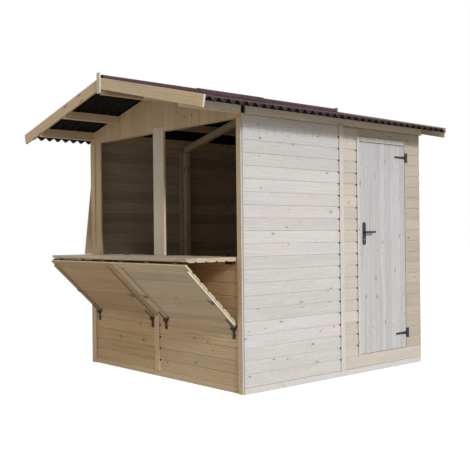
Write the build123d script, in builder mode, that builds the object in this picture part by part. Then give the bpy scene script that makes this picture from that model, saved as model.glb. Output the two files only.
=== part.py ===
from build123d import *
import os
from math import cos, radians, sin, tan

# Wooden market stall, sizes in millimetres. The serving front faces -Y and the door is on +X.
# The origin is on the ground, under the middle of the roof.

# Body
wall_width = 2460
wall_depth = 2460
board_pitch = 110
boards_high = 21
rail_height = 55
cladding = 19
stud_depth = 38
stud_face = 58
deck = 19
seam = 0.5

# Roof
roof_pitch = 13.6
front_overhang = 628
rear_overhang = 99
side_overhang = 273
eave_rise = 65
purlin_width = 58
purlin_height = 60
ridge_purlin_height = 95
purlin_inset = 20
middle_purlin_x = 700
rafter_height = 70
sheet_thickness = 3
wave_pitch = 95
wave_height = 36
wave_slope = 50
ridge_gap = 15
cap_wing = 150
cap_crown = 34
cap_rise = 44
cap_lap = 60
cap_seams = (555, 1319)
barge_width = 100
barge_thickness = 20
barge_lip = 11
finial_width = 50
finial_height = 185
finial_thickness = 15
fit_gap = 1
rest_gap = 0.3

# Serving front
counter_boards = 10
left_jamb = 181
right_jamb = 57
post_left = 61
post_right = 106
opening_head = 34
batten_width = 56
batten_thickness = 12
corner_inset = 14
left_corner_batten = 80
centre_batten = (-57, 16)
counter_reach = 526
flap_ends = (-1100, 1140)
flap_joint = 25
flap_thickness = 35
flap_gap = 10
prop_length = 734
prop_fold = 136.2
prop_batten = 55
prop_batten_inset = 78
prop_batten_depth = 16
hinge_radius = 5
hinge_length = 70
hinge_leaf = 30
leaf_thickness = 2
hinge_edge_gap = 1
sill_gap = 6
pin_radius = 2.5
pin_clearance = 0.05
hook_width = 28
hook_thickness = 5
hook_length = 97
hook_reach = 20
hook_seat = 0.05
bracket_places = (-1072, -100, 121, 1099)
bracket_side = [(0, 459), (6, 459), (10, 515), (24, 540), (24, 547), (13, 553), (6, 568), (6, 580), (0, 580)]
bracket_front = [(0, 494), (9, 459), (20, 459), (11, 505), (13, 528), (42, 564), (35, 576), (0, 543),
                 (-35, 576), (-42, 564), (-13, 528), (-11, 505), (-20, 459), (-9, 459)]
latch_size = (54, 34, 5)
latch_place = 440
cheek_thickness = 13
cheek_reach = 88
cheek_top = 1914
cleat_width = 105
cleat_height = 28
cleat_depth = 30

# Door
door_width = 720
door_height = 2047
door_from_joint = 260
door_sill_height = 180
door_clearance = 5
door_ledge = 95
door_swing_radius = 6
door_hinge_pin = 3
door_hinge_stand = 7
strap_length = 170
strap_root = 34
strap_tip = 18
strap_thickness = 3
plate_height = 97
plate_width = 36
knuckle_height = 30
upper_hinge_drop = 119
lower_hinge_rise = 146
handle_height = 1356
handle_inset = 69
handle_plate = (45, 220, 6)
handle_drop = 15
spindle_radius = 8
lever_reach = 50
lever_length = 115
lever_height = 18
lever_thickness = 12

# Derived places
wall = cladding + stud_depth
roof_length = front_overhang + wall_depth + rear_overhang
front = front_overhang - roof_length / 2
rear = front + wall_depth
side = wall_width / 2
inner_side = side - cladding
frame_side = side - wall
wall_top = rail_height + boards_high * board_pitch
counter_top = rail_height + counter_boards * board_pitch
sill_bottom = counter_top - cladding
opening_top = wall_top - opening_head
middle = (front + rear) / 2
slope = tan(radians(roof_pitch))
normal_share = cos(radians(roof_pitch))
eave_x = side + side_overhang


def under_roof(x):
    """Height of the roof sheets' underside at distance x from the ridge."""
    return wall_top + eave_rise + (side - abs(x)) * slope


def block(low, high, mode=Mode.ADD):
    """A box between two corners."""
    size = [b - a for a, b in zip(low, high)]
    centre = [(a + b) / 2 for a, b in zip(low, high)]
    with Locations(tuple(centre)):
        Box(*size, mode=mode)


def save(piece, name):
    """Label a finished piece and write it."""
    piece.part.label = name
    export_step(piece.part, f"parts/{name}.step")


def mirrored(x_low, x_high):
    """The same stretch of X on the right and on the left."""
    return (x_low, x_high), (-x_high, -x_low)


os.makedirs("parts", exist_ok=True)

# Base rails lie on the ground under the walls, with joists and a deck between them
with BuildPart() as base_rails_across:
    for y in (front, rear - wall):
        block((-side, y, 0), (side, y + wall, rail_height))
save(base_rails_across, "base_rails_across")

with BuildPart() as base_rails_along:
    for low, high in mirrored(frame_side, side):
        block((low, front + wall, 0), (high, rear - wall, rail_height))
save(base_rails_along, "base_rails_along")

with BuildPart() as floor_joists:
    for share in (0.25, 0.5, 0.75):
        y = front + wall_depth * share
        block((-frame_side, y - stud_face / 2, 0), (frame_side, y + stud_face / 2, rail_height))
save(floor_joists, "floor_joists")

with BuildPart() as floor_deck:
    block((-frame_side, front + wall, rail_height), (frame_side, rear - wall, rail_height + deck))
save(floor_deck, "floor_deck")

# Cladding: the side walls run from face to face, the front and rear walls stand between them
door_low = middle + door_from_joint
door_high = door_low + door_width
door_top = door_sill_height + door_height
hinge_heights = (door_top - upper_hinge_drop, door_sill_height + lower_hinge_rise)
hole_low = door_low - door_clearance
hole_high = door_high + door_clearance
hole_bottom = door_sill_height - door_clearance
hole_top = door_top + door_clearance

side_sheets = {
    "left_wall_front": ((-side, front, rail_height), (-inner_side, middle, wall_top)),
    "left_wall_rear": ((-side, middle, rail_height), (-inner_side, rear, wall_top)),
    "right_wall_front": ((inner_side, front, rail_height), (side, middle, wall_top)),
    "right_wall_lock_side": ((inner_side, middle, rail_height), (side, hole_low, wall_top)),
    "right_wall_hinge_side": ((inner_side, hole_high, rail_height), (side, rear, wall_top)),
    "right_wall_over_door": ((inner_side, hole_low, hole_top), (side, hole_high, wall_top)),
    "right_wall_under_door": ((inner_side, hole_low, rail_height), (side, hole_high, hole_bottom)),
    "front_wall_left": ((-inner_side, front, rail_height), (0, front + cladding, sill_bottom)),
    "front_wall_right": ((0, front, rail_height), (inner_side, front + cladding, sill_bottom)),
    "rear_wall_left": ((-inner_side, rear - cladding, rail_height), (0, rear, wall_top)),
    "rear_wall_right": ((0, rear - cladding, rail_height), (inner_side, rear, wall_top)),
}
for name, (low, high) in side_sheets.items():
    with BuildPart() as wall_sheet:
        block(low, high)
    save(wall_sheet, name)

# Studs stand behind the cladding at corners, panel joints and beside the door
stud_foot = rail_height + deck
plate_bottom = wall_top - stud_depth
with BuildPart() as wall_studs:
    for low, high in mirrored(frame_side, inner_side):
        for y in (front + wall, middle - stud_face, rear - wall - stud_face):
            depth = 2 * stud_face if y == middle - stud_face else stud_face
            block((low, y, stud_foot), (high, y + depth, plate_bottom))
    for y in (hole_low - stud_face, hole_high):
        block((frame_side, y, stud_foot), (inner_side, y + stud_face, plate_bottom))
    for low, high in ((-inner_side, stud_face - inner_side), (-stud_face, stud_face),
                      (inner_side - stud_face, inner_side)):
        block((low, front + cladding, rail_height), (high, front + wall, sill_bottom))
        block((low, rear - wall, rail_height), (high, rear - cladding, wall_top))
save(wall_studs, "wall_studs")

with BuildPart() as top_plates:
    for low, high in mirrored(frame_side, inner_side):
        block((low, front + wall, plate_bottom), (high, rear - wall, wall_top))
save(top_plates, "top_plates")

# Serving front: sill, posts and header round two openings
with BuildPart() as front_sill:
    block((-inner_side, front, sill_bottom), (inner_side, front + wall, counter_top))
save(front_sill, "front_sill")

with BuildPart() as front_posts:
    for low, high in ((-inner_side, left_jamb - inner_side), (-post_left, post_right),
                      (inner_side - right_jamb, inner_side)):
        block((low, front, counter_top), (high, front + cladding, opening_top))
        stud_low = max(low, (low + high - stud_face) / 2)
        stud_high = min(high, (low + high + stud_face) / 2)
        block((stud_low, front + cladding, counter_top), (stud_high, front + wall, opening_top))
save(front_posts, "front_posts")

with BuildPart() as front_header:
    block((-inner_side, front + cladding, opening_top), (inner_side, front + wall, wall_top))
save(front_header, "front_header")

# Purlins carry the sheets from the front barge boards to the rear ones
purlin_low = -roof_length / 2 + barge_thickness
purlin_high = roof_length / 2 - barge_thickness
eave_purlin_x = side - purlin_inset - purlin_width / 2
purlin_half = purlin_width / 2
with BuildPart() as purlins:
    for centre_x in (-eave_purlin_x, -middle_purlin_x, 0, middle_purlin_x, eave_purlin_x):
        low, high = centre_x - purlin_half, centre_x + purlin_half
        peak = [(centre_x, under_roof(centre_x))]
        foot = under_roof(max(abs(low), abs(high))) - purlin_height
        if centre_x == 0:
            foot = under_roof(purlin_half) - ridge_purlin_height
        if abs(centre_x) == eave_purlin_x:
            foot = wall_top
        corners = [(low, foot), (high, foot), (high, under_roof(high))] + peak + [(low, under_roof(low))]
        with BuildSketch(Plane.XZ.offset(-purlin_high)):
            Polygon(*corners, align=None)
        extrude(amount=purlin_high - purlin_low)
save(purlins, "purlins")


def save_gable(name, y_face, foot):
    """A gable's cladding in the wall plane, cut round the purlins that pass through it."""
    with BuildPart() as gable:
        with BuildSketch(Plane.XZ.offset(-y_face - cladding)):
            Polygon((-inner_side, foot), (inner_side, foot), (inner_side, under_roof(inner_side)),
                    (0, under_roof(0)), (-inner_side, under_roof(inner_side)), align=None)
            for low, high in mirrored(eave_purlin_x - purlin_half - fit_gap, side):
                Polygon((low, wall_top), (high, wall_top), (high, under_roof(0)), (low, under_roof(0)),
                        align=None, mode=Mode.SUBTRACT)
            for centre_x in (-middle_purlin_x, 0, middle_purlin_x):
                low, high = centre_x - purlin_half - fit_gap, centre_x + purlin_half + fit_gap
                depth = purlin_height if centre_x else ridge_purlin_height
                notch = under_roof(abs(centre_x) + purlin_half) - depth - fit_gap
                Polygon((low, notch), (high, notch), (high, under_roof(0) + fit_gap),
                        (low, under_roof(0) + fit_gap), align=None, mode=Mode.SUBTRACT)
        extrude(amount=cladding)
    save(gable, name)


save_gable("front_gable", front, opening_top)
save_gable("rear_gable", rear - cladding, wall_top)

# A pair of rafters over the middle studs carries the purlins inside
rafter_half = stud_face / 2
with BuildPart() as middle_rafters:
    for sign in (-1, 1):
        tops = [sign * (eave_purlin_x - purlin_half - fit_gap), sign * (purlin_half + rest_gap)]
        gap_under = purlin_height + (purlin_half * 2) * slope
        outline = [(x, under_roof(x) - gap_under) for x in tops]
        outline += [(x, under_roof(x) - gap_under - rafter_height) for x in reversed(tops)]
        with BuildSketch(Plane.XZ.offset(-middle - rafter_half)):
            Polygon(*outline, align=None)
        extrude(amount=2 * rafter_half)
save(middle_rafters, "middle_rafters")

post_low = frame_side - stud_face
post_top = under_roof(eave_purlin_x - purlin_half - fit_gap) - gap_under - rafter_height
with BuildPart() as middle_posts:
    for low, high in mirrored(post_low, frame_side):
        block((low, middle - rafter_half, rail_height + deck), (high, middle + rafter_half, post_top))
save(middle_posts, "middle_posts")

# Fascia boards close the gap between the side walls and the sheets
fascia_start = front + 2 * cladding
with BuildPart() as eave_fascias:
    for low, high in mirrored(inner_side, side):
        outline = [(low, wall_top), (high, wall_top), (high, under_roof(high)), (low, under_roof(low))]
        with BuildSketch(Plane.XZ.offset(-rear)):
            Polygon(*outline, align=None)
        extrude(amount=rear - fascia_start)
save(eave_fascias, "eave_fascias")

# Corrugated sheets: crests and troughs are arcs joined by straight flanks, as many whole waves as fit
waves = int((purlin_high - purlin_low) // wave_pitch)
flank = radians(wave_slope)
half_swing = (wave_height - sheet_thickness) / 2
zigzag = wave_pitch / 4 * tan(flank)
bend_radius = (zigzag - half_swing) / (1 / cos(flank) - 1)
flank_offset = sheet_thickness / 2 / cos(flank)
sheet_run = (eave_x - ridge_gap) / normal_share


def wave_line(side_sign):
    """One face of the sheet, offset up or down from its middle line."""
    start = -waves * wave_pitch / 2
    points = [(start, side_sign * flank_offset)]
    radii = []
    for i in range(2 * waves):
        up = 1 if i % 2 == 0 else -1
        points.append((start + wave_pitch * (0.25 + 0.5 * i), up * zigzag + side_sign * flank_offset))
        radii.append(bend_radius + up * side_sign * sheet_thickness / 2)
    points.append((-start, side_sign * flank_offset))
    return points, radii


def sheet_plane(sign):
    """Plane across the slope at the ridge: its X runs to the rear, its normal down the slope."""
    lift = wave_height / 2 + rest_gap
    down = (sign * cos(radians(roof_pitch)), 0, -sin(radians(roof_pitch)))
    start_x = sign * (ridge_gap + lift * sin(radians(roof_pitch)))
    start_z = under_roof(ridge_gap) + lift * normal_share
    return Plane(origin=(start_x, 0, start_z), x_dir=(0, 1, 0), z_dir=down)


for name, sign in (("roof_sheets_left", -1), ("roof_sheets_right", 1)):
    with BuildPart() as roof_sheets:
        with BuildSketch(sheet_plane(sign)):
            with BuildLine():
                upper, upper_radii = wave_line(1)
                lower, lower_radii = wave_line(-1)
                FilletPolyline(*upper, radius=upper_radii)
                FilletPolyline(*lower, radius=lower_radii)
                Line(upper[0], lower[0])
                Line(upper[-1], lower[-1])
            make_face()
        extrude(amount=sheet_run)
    save(roof_sheets, name)

# Ridge caps lie on the crests of both slopes, the middle one lapped over its neighbours
crest_rise = (wave_height + rest_gap) / normal_share


cap_step = sheet_thickness / normal_share + 1
cap_starts = [purlin_low + 2, front + cap_seams[0] - cap_lap, front + cap_seams[1]]
cap_ends = [front + cap_seams[0], front + cap_seams[1] + cap_lap, purlin_high - 2]
with BuildPart() as ridge_caps:
    for cap_start, cap_end, lift in zip(cap_starts, cap_ends, (0, cap_step, 0)):
        with BuildSketch(Plane.XZ.offset(-cap_end)):
            with BuildLine():
                faces = []
                for top in (sheet_thickness, 0):
                    rise = crest_rise + rest_gap + lift + top / normal_share
                    crown = cap_crown + lift + top / 2
                    crown_height = cap_rise + lift + top / 2
                    wing = under_roof(cap_wing) + rise
                    root = under_roof(crown) + rise
                    Line((-cap_wing, wing), (-crown, root))
                    ThreePointArc((-crown, root), (0, root + crown_height), (crown, root))
                    Line((crown, root), (cap_wing, wing))
                    faces.append(wing)
                for x in (-cap_wing, cap_wing):
                    Line((x, faces[0]), (x, faces[1]))
            make_face()
        extrude(amount=cap_end - cap_start)
save(ridge_caps, "ridge_caps")

# Barge boards follow both slopes at the front and the rear, with a finial over each apex
barge_rise = crest_rise + barge_lip
barge_drop = barge_width / normal_share
for name, y_back in (("front_barge_boards", purlin_low), ("rear_barge_boards", purlin_high + barge_thickness)):
    with BuildPart() as barge_boards:
        for low, high in mirrored(seam, eave_x):
            outer = low if abs(low) > abs(high) else high
            root = low + high - outer
            cut = outer - barge_width * sin(radians(roof_pitch)) * outer / abs(outer)
            outline = [(root, under_roof(root) + barge_rise), (outer, under_roof(outer) + barge_rise),
                       (cut, under_roof(cut) + barge_rise - barge_drop),
                       (root, under_roof(root) + barge_rise - barge_drop)]
            with BuildSketch(Plane.XZ.offset(-y_back)):
                Polygon(*outline, align=None)
            extrude(amount=barge_thickness)
    save(barge_boards, name)

finial_top = under_roof(0) + barge_rise + 42
with BuildPart() as finials:
    for y in (-roof_length / 2 - finial_thickness, roof_length / 2):
        block((-finial_width / 2, y, finial_top - finial_height),
              (finial_width / 2, y + finial_thickness, finial_top))
save(finials, "finials")

# Cover battens over the corners and the panel joints
batten_half = batten_width / 2
fold_down = radians(180 - prop_fold)
prop_foot = (counter_top - flap_thickness - hinge_radius - (prop_length + hinge_edge_gap) * sin(fold_down)
             - (flap_thickness - prop_batten_depth + hinge_radius) * cos(fold_down))
centre_batten_top = prop_foot - door_clearance
corner_x = side - corner_inset - batten_width
with BuildPart() as cover_battens:
    left_corner = corner_inset - side
    for low, high in ((left_corner, left_corner + left_corner_batten), (corner_x, corner_x + batten_width)):
        block((low, front - batten_thickness, rail_height), (high, front, opening_top))
    for low, high in mirrored(corner_x, corner_x + batten_width):
        block((low, rear, rail_height), (high, rear + batten_thickness, wall_top))
    block((centre_batten[0], front - batten_thickness, rail_height),
          (centre_batten[1], front, centre_batten_top))
    block((-batten_half, rear, rail_height), (batten_half, rear + batten_thickness, wall_top))
    for low, high in mirrored(side, side + batten_thickness):
        block((low, middle - batten_half, rail_height), (high, middle + batten_half, wall_top))
save(cover_battens, "cover_battens")

# A tapered board stands on the left corner beside the counter
with BuildPart() as left_cheek:
    with BuildSketch(Plane.YZ.offset(-side)):
        Polygon((front, counter_top), (front - cheek_reach, counter_top), (front, cheek_top), align=None)
    extrude(amount=cheek_thickness)
save(left_cheek, "left_cheek")

# Door leaf: upright boards on ledges, hinged at its rear edge
door_inner = side - 2 * cladding
hinge_x = side + door_hinge_stand
hinge_y = door_high + door_clearance / 2
handle_y = door_low + handle_inset
ledge_places = [door_sill_height + 180, door_sill_height + door_height / 2 - door_ledge,
                door_top - 180 - door_ledge]
with BuildPart() as door:
    block((inner_side, door_low, door_sill_height), (side, door_high, door_top))
    for z in ledge_places:
        block((door_inner, door_low + 45, z), (inner_side, door_high - 25, z + door_ledge))
    with Locations(Location((side - cladding / 2, handle_y, handle_height), (0, 90, 0))):
        Cylinder(spindle_radius + pin_clearance, 2 * cladding, mode=Mode.SUBTRACT)
save(door, "door")


def door_knuckle(z_low, z_high, radius, mode=Mode.ADD):
    """An upright barrel on the door's hinge axis."""
    with Locations((hinge_x, hinge_y, (z_low + z_high) / 2)):
        Cylinder(radius, z_high - z_low, mode=mode)


knuckle_gap = 0.5
strap_y = hinge_y - strap_length
with BuildPart() as door_hinge_straps:
    for z in hinge_heights:
        with BuildSketch(Plane.YZ.offset(side)):
            Polygon((strap_y, z - strap_tip / 2), (hinge_y, z - knuckle_height / 2 + knuckle_gap),
                    (hinge_y, z + knuckle_height / 2 - knuckle_gap), (strap_y, z + strap_tip / 2),
                    align=None)
        extrude(amount=strap_thickness)
        door_knuckle(z - knuckle_height / 2 + knuckle_gap, z + knuckle_height / 2 - knuckle_gap,
                     door_swing_radius)
        door_knuckle(z - plate_height, z + plate_height, door_hinge_pin + pin_clearance, Mode.SUBTRACT)
save(door_hinge_straps, "door_hinge_straps")

plate_start = hinge_y + door_swing_radius + 1
with BuildPart() as door_hinge_plates:
    for z in hinge_heights:
        block((side, plate_start, z - plate_height / 2),
              (side + strap_thickness, plate_start + plate_width, z + plate_height / 2))
        for low, high in ((z - plate_height / 2, z - knuckle_height / 2 - knuckle_gap),
                          (z + knuckle_height / 2 + knuckle_gap, z + plate_height / 2)):
            block((side, hinge_y, low), (side + strap_thickness, plate_start, high))
            door_knuckle(low, high, door_swing_radius)
        door_knuckle(z - plate_height / 2, z + plate_height / 2, door_hinge_pin)
save(door_hinge_plates, "door_hinge_plates")

plate_face, plate_length, plate_depth = handle_plate
plate_centre = handle_height - handle_drop
with BuildPart() as door_handle_plates:
    for x in (side, inner_side - plate_depth):
        with BuildSketch(Plane.YZ.offset(x)):
            with Locations((handle_y, plate_centre)):
                RectangleRounded(plate_face, plate_length, plate_face / 2 - 1)
            with Locations((handle_y, handle_height)):
                Circle(spindle_radius + pin_clearance, mode=Mode.SUBTRACT)
        extrude(amount=plate_depth)
save(door_handle_plates, "door_handle_plates")

with BuildPart() as door_lever:
    spindle_low = inner_side - lever_reach
    spindle_high = side + lever_reach
    with Locations(Location(((spindle_low + spindle_high) / 2, handle_y, handle_height), (0, 90, 0))):
        Cylinder(spindle_radius, spindle_high - spindle_low)
    for x in (spindle_low, spindle_high - lever_thickness):
        with BuildSketch(Plane.YZ.offset(x)):
            with Locations((handle_y + lever_length / 2, handle_height)):
                SlotOverall(lever_length + lever_height, lever_height)
        extrude(amount=lever_thickness)
save(door_lever, "door_lever")

# Counter flaps hinge on the sill, and prop panels fold down and back from their outer edges
sill_axis = (front - sill_gap, counter_top + hinge_radius)
flap_inner = sill_axis[0] - 2
flap_outer = flap_inner - counter_reach
prop_axis = (flap_outer - hinge_edge_gap, counter_top - flap_thickness - hinge_radius)
prop_start = prop_axis[0] - hinge_edge_gap
prop_end = prop_start - prop_length
flap_spans = {"left": (flap_ends[0], flap_joint - flap_gap / 2),
              "right": (flap_joint + flap_gap / 2, flap_ends[1])}


def barrel(x_low, x_high, axis, radius, mode=Mode.ADD):
    """A hinge barrel along X."""
    with Locations(Location(((x_low + x_high) / 2, axis[0], axis[1]), (0, 90, 0))):
        Cylinder(radius, x_high - x_low, mode=mode)


def hinge_places(span):
    """Centres of the three hinges along a flap."""
    return span[0] + 150, (span[0] + span[1]) / 2, span[1] - 150


third = hinge_length / 3
for hand, span in flap_spans.items():
    with BuildPart() as counter:
        block((span[0], flap_outer, counter_top - flap_thickness), (span[1], flap_inner, counter_top))
    save(counter, f"counter_{hand}")

    with BuildPart() as counter_fittings:
        for x in hinge_places(span):
            low, high = x - third / 2 + knuckle_gap, x + third / 2 - knuckle_gap
            block((low, sill_axis[0] - hinge_leaf, counter_top),
                  (high, sill_axis[0], counter_top + leaf_thickness))
            barrel(low, high, sill_axis, hinge_radius)
            barrel(low, high, sill_axis, pin_radius + pin_clearance, Mode.SUBTRACT)
            ends = ((x - hinge_length / 2, low - 2 * knuckle_gap), (high + 2 * knuckle_gap, x + hinge_length / 2))
            under = counter_top - flap_thickness
            for low, high in ends:
                block((low, prop_axis[0], under - leaf_thickness), (high, prop_axis[0] + hinge_leaf, under))
                barrel(low, high, prop_axis, hinge_radius)
            barrel(ends[0][0], ends[1][1], prop_axis, pin_radius)
    save(counter_fittings, f"counter_{hand}_fittings")

    # The prop panel is drawn unfolded, level with the counter, and then folded under it
    fold_axis = Axis((0, prop_axis[0], prop_axis[1]), (1, 0, 0))
    if hand == "left":
        batten_starts = (span[0], span[1] - prop_batten_inset - prop_batten)
    else:
        batten_starts = (span[0] + prop_batten_inset, span[1] - prop_batten)
    board_top = counter_top - prop_batten_depth
    with BuildPart() as prop_flat:
        block((span[0], prop_end, counter_top - flap_thickness), (span[1], prop_start, board_top))
        for x in batten_starts:
            block((x, prop_end, board_top), (x + prop_batten, prop_start - prop_batten, counter_top))
    with BuildPart() as prop:
        add(prop_flat.part.rotate(fold_axis, prop_fold))
    save(prop, f"prop_{hand}")

    with BuildPart() as fittings_flat:
        for x in hinge_places(span):
            low, high = x - third / 2 + knuckle_gap, x + third / 2 - knuckle_gap
            under = counter_top - flap_thickness
            block((low, prop_axis[0] - hinge_leaf, under - leaf_thickness), (high, prop_axis[0], under))
            barrel(low, high, prop_axis, hinge_radius)
            barrel(low, high, prop_axis, pin_radius + pin_clearance, Mode.SUBTRACT)
        for x in [place for place in bracket_places if span[0] < place < span[1]]:
            block((x - hook_width / 2, prop_end - hook_reach, counter_top + hook_seat),
                  (x + hook_width / 2, prop_end - hook_reach + hook_length, counter_top + hook_thickness))
        latch_width, latch_height, latch_thickness = latch_size
        for x in batten_starts:
            middle_x = x + prop_batten / 2
            y = prop_start - latch_place
            block((middle_x - latch_width / 2, y - latch_height / 2, counter_top + hook_seat),
                  (middle_x + latch_width / 2, y + latch_height / 2, counter_top + latch_thickness))
    with BuildPart() as prop_fittings:
        add(fittings_flat.part.rotate(fold_axis, prop_fold))
    save(prop_fittings, f"prop_{hand}_fittings")



def forked_bracket(x):
    """A forked bracket: the side outline swept along X, cut to the outline seen from the front."""
    with BuildPart() as bracket:
        with BuildSketch(Plane.YZ.offset(x - bracket_front[5][0])):
            Polygon(*[(front - out, z) for out, z in bracket_side], align=None)
        extrude(amount=2 * bracket_front[5][0])
        with BuildSketch(Plane.XZ.offset(-front - 1)):
            Polygon(*[(x + across, z) for across, z in bracket_front], align=None)
        extrude(amount=max(out for out, z in bracket_side) + 2, mode=Mode.INTERSECT)
    return bracket.part


# On the wall: hinge leaves on the sill, brackets for the props and cleats under the counters
with BuildPart() as front_fittings:
    for hand, span in flap_spans.items():
        for x in hinge_places(span):
            low, high = x - third / 2 - knuckle_gap, x + third / 2 + knuckle_gap
            for start, end in ((x - hinge_length / 2, low), (high, x + hinge_length / 2)):
                block((start, sill_axis[0], counter_top), (end, sill_axis[0] + hinge_leaf, counter_top + leaf_thickness))
                barrel(start, end, sill_axis, hinge_radius)
            barrel(x - hinge_length / 2, x + hinge_length / 2, sill_axis, pin_radius)
        cleat_places = (span[0] + 15, span[1] - 15 - cleat_width)
        under = counter_top - flap_thickness - rest_gap
        for x in cleat_places:
            block((x, front - cleat_depth, under - cleat_height), (x + cleat_width, front, under))
    for x in bracket_places:
        add(forked_bracket(x))
save(front_fittings, "front_fittings")
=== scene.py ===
import math
import bmesh
import bpy
import numpy as np
from mathutils import Matrix, Vector


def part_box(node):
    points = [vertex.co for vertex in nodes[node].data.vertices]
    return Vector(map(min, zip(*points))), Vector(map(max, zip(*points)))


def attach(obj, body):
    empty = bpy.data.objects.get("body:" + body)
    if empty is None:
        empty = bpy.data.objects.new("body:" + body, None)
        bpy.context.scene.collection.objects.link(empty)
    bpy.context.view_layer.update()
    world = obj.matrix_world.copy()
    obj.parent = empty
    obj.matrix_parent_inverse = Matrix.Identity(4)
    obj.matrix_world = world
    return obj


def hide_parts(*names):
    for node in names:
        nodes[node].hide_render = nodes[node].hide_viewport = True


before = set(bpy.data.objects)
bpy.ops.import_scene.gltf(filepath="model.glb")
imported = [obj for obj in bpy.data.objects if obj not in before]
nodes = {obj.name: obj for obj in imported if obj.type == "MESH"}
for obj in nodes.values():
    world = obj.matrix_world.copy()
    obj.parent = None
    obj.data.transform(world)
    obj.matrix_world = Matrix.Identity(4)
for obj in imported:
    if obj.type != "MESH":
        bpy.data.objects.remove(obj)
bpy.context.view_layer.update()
rng = np.random.default_rng(7)
print("frame loaded")

# Places read from the CAD boxes, in metres
(_, frontFace, railTop), (halfWidth, panelJoint, wallTop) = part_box("right_wall_front")
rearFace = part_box("rear_wall_left")[1][1]
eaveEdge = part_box("roof_sheets_right")[1][0]
boardPitch = 0.110
boardsHigh = round((wallTop - railTop) / boardPitch)
roof = {"pitch": math.radians(13.6), "eaveRise": 0.065, "ridgeGap": 0.015, "wave": 0.095, "high": 0.036,
        "thick": 0.003, "perWave": 14, "rows": 30, "lift": 0.0003, "roundness": 0.85}


def roofUnder(x):
    # height of the sheets' underside: eave height + (half width - |x|) * tan(pitch)
    return wallTop + roof["eaveRise"] + (halfWidth - np.abs(x)) * math.tan(roof["pitch"])


def newMaterial(name):
    mat = bpy.data.materials.new(name)
    mat.use_nodes = True
    tree = mat.node_tree
    tree.nodes.clear()
    out = tree.nodes.new("ShaderNodeOutputMaterial")
    shader = tree.nodes.new("ShaderNodeBsdfPrincipled")
    tree.links.new(shader.outputs["BSDF"], out.inputs["Surface"])
    return mat, tree, shader


def linear(rgb):
    # sRGB 0-255 to the linear values that the shader takes
    c = np.array(rgb) / 255.0
    return tuple(np.where(c <= 0.04045, c / 12.92, ((c + 0.055) / 1.055) ** 2.4)) + (1.0,)


def addNode(tree, kind, settings=None, inputs=None):
    node = tree.nodes.new(kind)
    for key, value in (settings or {}).items():
        setattr(node, key, value)
    for key, value in (inputs or {}).items():
        if isinstance(value, bpy.types.NodeSocket):
            tree.links.new(value, node.inputs[key])
        else:
            node.inputs[key].default_value = value
    return node


def maths(operation, a, b=0.0, clamp=False):
    # a is a socket, and its own node tree takes the new node
    node = addNode(a.id_data, "ShaderNodeMath", {"operation": operation, "use_clamp": clamp}, {0: a, 1: b})
    return node.outputs[0]


def times(a, b):
    return maths("MULTIPLY", a, b)


def plus(a, b, clamp=False):
    return maths("ADD", a, b, clamp)


def mixColour(tree, factor, a, b, blend="MIX"):
    # sockets 0, 6 and 7 are the factor and the two colours, output 2 the mixed colour
    node = addNode(tree, "ShaderNodeMix", {"data_type": "RGBA", "blend_type": blend}, {0: factor, 6: a, 7: b})
    return node.outputs[2]


def smoothStep(value, low, high, toLow=0.0, toHigh=1.0):
    node = addNode(value.id_data, "ShaderNodeMapRange", {"interpolation_type": "SMOOTHSTEP"},
                   {"Value": value, "From Min": low, "From Max": high, "To Min": toLow, "To Max": toHigh})
    return node.outputs["Result"]


def stretched(vector, scale):
    node = addNode(vector.id_data, "ShaderNodeVectorMath", {"operation": "MULTIPLY"}, {0: vector, 1: scale})
    return node.outputs[0]


def noise(vector, scale=1.0, detail=3.0, roughness=0.5):
    node = addNode(vector.id_data, "ShaderNodeTexNoise", None,
                   {"Vector": vector, "Scale": scale, "Detail": detail, "Roughness": roughness})
    return node.outputs["Fac"]


def applyFinish(shader, colour, rough, height, strength, deep):
    tree = shader.id_data
    bump = addNode(tree, "ShaderNodeBump", None, {"Strength": strength, "Distance": deep, "Height": height})
    for name, socket in (("Base Color", colour), ("Roughness", rough), ("Normal", bump.outputs[0])):
        tree.links.new(socket, shader.inputs[name])


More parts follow.
